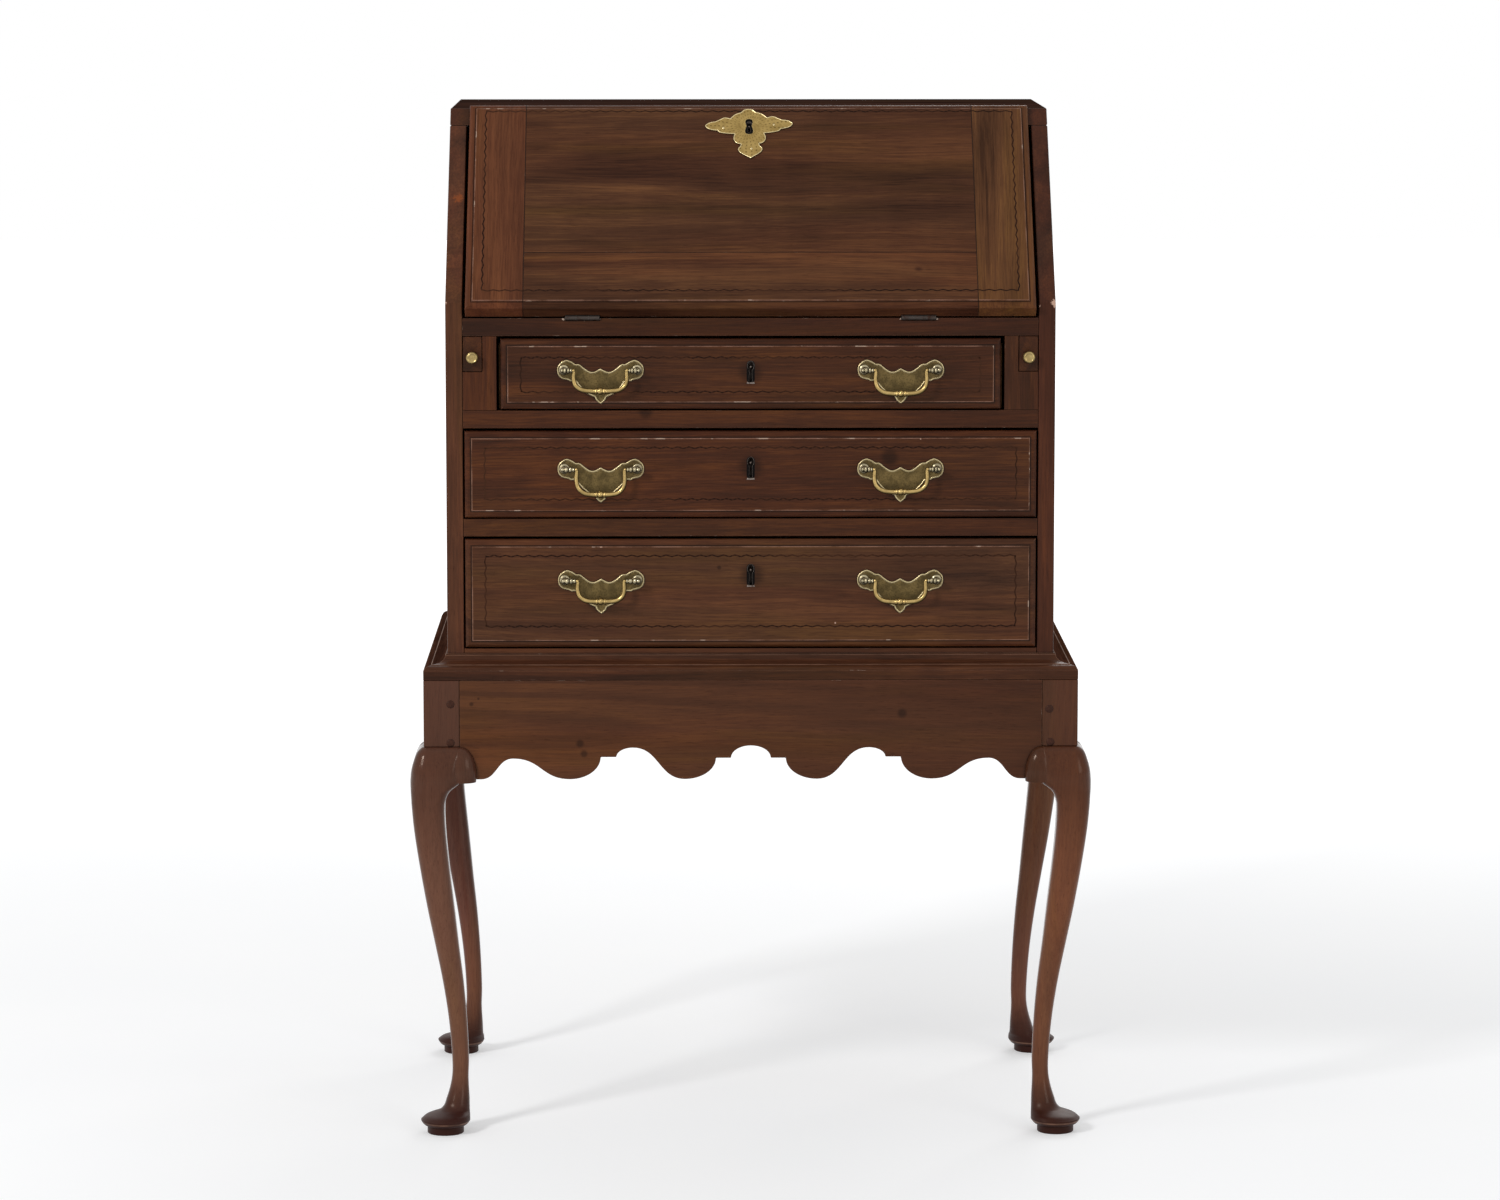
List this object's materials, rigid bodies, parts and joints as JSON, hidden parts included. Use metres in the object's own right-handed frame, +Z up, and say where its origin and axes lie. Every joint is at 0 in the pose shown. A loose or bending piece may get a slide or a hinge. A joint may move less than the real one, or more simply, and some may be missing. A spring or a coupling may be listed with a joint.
{
  "type": "desk on frame",
  "caption": "Slant-front writing desk on a scrolled frame with cabriole legs: a hinged fall on pull-out supports, over long drawers with swinging bail handles.",
  "frame": {"origin": "on the floor, under the middle of the desk's whole box", "axes": "+Z up, +X to the right of someone facing the desk, +Y to its back"},
  "size_m": [0.6846, 0.453, 1.0338],
  "materials": {
    "walnut": "dark walnut, rubbed shellac and wax, satin",
    "leg_walnut": "dark walnut, a little paler and redder, satin",
    "drawer_wood": "bare aged poplar and pine, dry",
    "brass": "aged cast brass, tooled, dull",
    "bright_brass": "aged cast brass, rubbed bright",
    "iron": "old wrought iron, dark"
  },
  "bodies": {
    "root": {"leg_front_left": "leg_walnut", "leg_front_right": "leg_walnut", "leg_rear_left": "leg_walnut", "leg_rear_right": "leg_walnut", "apron_front": "walnut", "apron_left": "walnut", "apron_right": "walnut", "rail_back": "walnut", "moulding_front": "walnut", "moulding_left": "walnut", "moulding_right": "walnut", "case_side_left": "walnut", "case_side_right": "walnut", "top_board": "walnut", "back_board": "drawer_wood", "bottom_board": "walnut", "writing_bed": "walnut", "blade_lower": "walnut", "blade_upper": "walnut", "loper_housing_left": "walnut", "loper_housing_right": "walnut", "pigeonhole_gallery": "walnut", "bed_hinge_leaf_left": "iron", "bed_hinge_leaf_right": "iron"},
    "fall": {"fall_panel": "walnut", "fall_cleat_left": "walnut", "fall_cleat_right": "walnut", "fall_hinge_leaf_left": "iron", "fall_hinge_leaf_right": "iron", "fall_escutcheon": "brass", "fall_lock": "iron"},
    "support_left": {"loper_left": "walnut", "loper_knob_left": "bright_brass"},
    "support_right": {"loper_right": "walnut", "loper_knob_right": "bright_brass"},
    "top_drawer": {"drawer_top_front": "walnut", "drawer_top_box": "drawer_wood", "drawer_top_lock": "iron", "plate_top_left": "brass", "plate_top_right": "brass"},
    "middle_drawer": {"drawer_middle_front": "walnut", "drawer_middle_box": "drawer_wood", "drawer_middle_lock": "iron", "plate_middle_left": "brass", "plate_middle_right": "brass"},
    "bottom_drawer": {"drawer_bottom_front": "walnut", "drawer_bottom_box": "drawer_wood", "drawer_bottom_lock": "iron", "plate_bottom_left": "brass", "plate_bottom_right": "brass"},
    "top_left_bail": {"bail_top_left": "bright_brass"},
    "top_right_bail": {"bail_top_right": "bright_brass"},
    "middle_left_bail": {"bail_middle_left": "bright_brass"},
    "middle_right_bail": {"bail_middle_right": "bright_brass"},
    "bottom_left_bail": {"bail_bottom_left": "bright_brass"},
    "bottom_right_bail": {"bail_bottom_right": "bright_brass"},
    "inner_drawer_1": {"small_drawer_1": "walnut"},
    "inner_drawer_2": {"small_drawer_2": "walnut"},
    "inner_drawer_3": {"small_drawer_3": "walnut"},
    "inner_drawer_4": {"small_drawer_4": "walnut"}
  },
  "joints": [
    {"name": "fall_hinge", "type": "hinge", "parent": "root", "child": "fall", "pos_m": [0, -0.18975, 0.829], "axis": [1, 0, 0], "range_deg": [0, 130.75]},
    {"name": "support_left_slide", "type": "slide", "parent": "root", "child": "support_left", "axis": [0, -1, 0], "range_m": [0, 0.24]},
    {"name": "support_right_slide", "type": "slide", "parent": "root", "child": "support_right", "axis": [0, -1, 0], "range_m": [0, 0.24]},
    {"name": "top_drawer_slide", "type": "slide", "parent": "root", "child": "top_drawer", "axis": [0, -1, 0], "range_m": [0, 0.25]},
    {"name": "middle_drawer_slide", "type": "slide", "parent": "root", "child": "middle_drawer", "axis": [0, -1, 0], "range_m": [0, 0.25]},
    {"name": "bottom_drawer_slide", "type": "slide", "parent": "root", "child": "bottom_drawer", "axis": [0, -1, 0], "range_m": [0, 0.25]},
    {"name": "top_left_bail_swing", "type": "hinge", "parent": "top_drawer", "child": "top_left_bail", "pos_m": [-0.15, -0.20735, 0.7773], "axis": [-1, 0, 0], "range_deg": [0, 110]},
    {"name": "top_right_bail_swing", "type": "hinge", "parent": "top_drawer", "child": "top_right_bail", "pos_m": [0.15, -0.20735, 0.7773], "axis": [-1, 0, 0], "range_deg": [0, 110]},
    {"name": "middle_left_bail_swing", "type": "hinge", "parent": "middle_drawer", "child": "middle_left_bail", "pos_m": [-0.15, -0.20735, 0.6781], "axis": [-1, 0, 0], "range_deg": [0, 110]},
    {"name": "middle_right_bail_swing", "type": "hinge", "parent": "middle_drawer", "child": "middle_right_bail", "pos_m": [0.15, -0.20735, 0.6781], "axis": [-1, 0, 0], "range_deg": [0, 110]},
    {"name": "bottom_left_bail_swing", "type": "hinge", "parent": "bottom_drawer", "child": "bottom_left_bail", "pos_m": [-0.15, -0.20735, 0.5659], "axis": [-1, 0, 0], "range_deg": [0, 110]},
    {"name": "bottom_right_bail_swing", "type": "hinge", "parent": "bottom_drawer", "child": "bottom_right_bail", "pos_m": [0.15, -0.20735, 0.5659], "axis": [-1, 0, 0], "range_deg": [0, 110]},
    {"name": "inner_drawer_1_slide", "type": "slide", "parent": "root", "child": "inner_drawer_1", "axis": [0, -1, 0], "range_m": [0, 0.12]},
    {"name": "inner_drawer_2_slide", "type": "slide", "parent": "root", "child": "inner_drawer_2", "axis": [0, -1, 0], "range_m": [0, 0.12]},
    {"name": "inner_drawer_3_slide", "type": "slide", "parent": "root", "child": "inner_drawer_3", "axis": [0, -1, 0], "range_m": [0, 0.12]},
    {"name": "inner_drawer_4_slide", "type": "slide", "parent": "root", "child": "inner_drawer_4", "axis": [0, -1, 0], "range_m": [0, 0.12]}
  ]
}
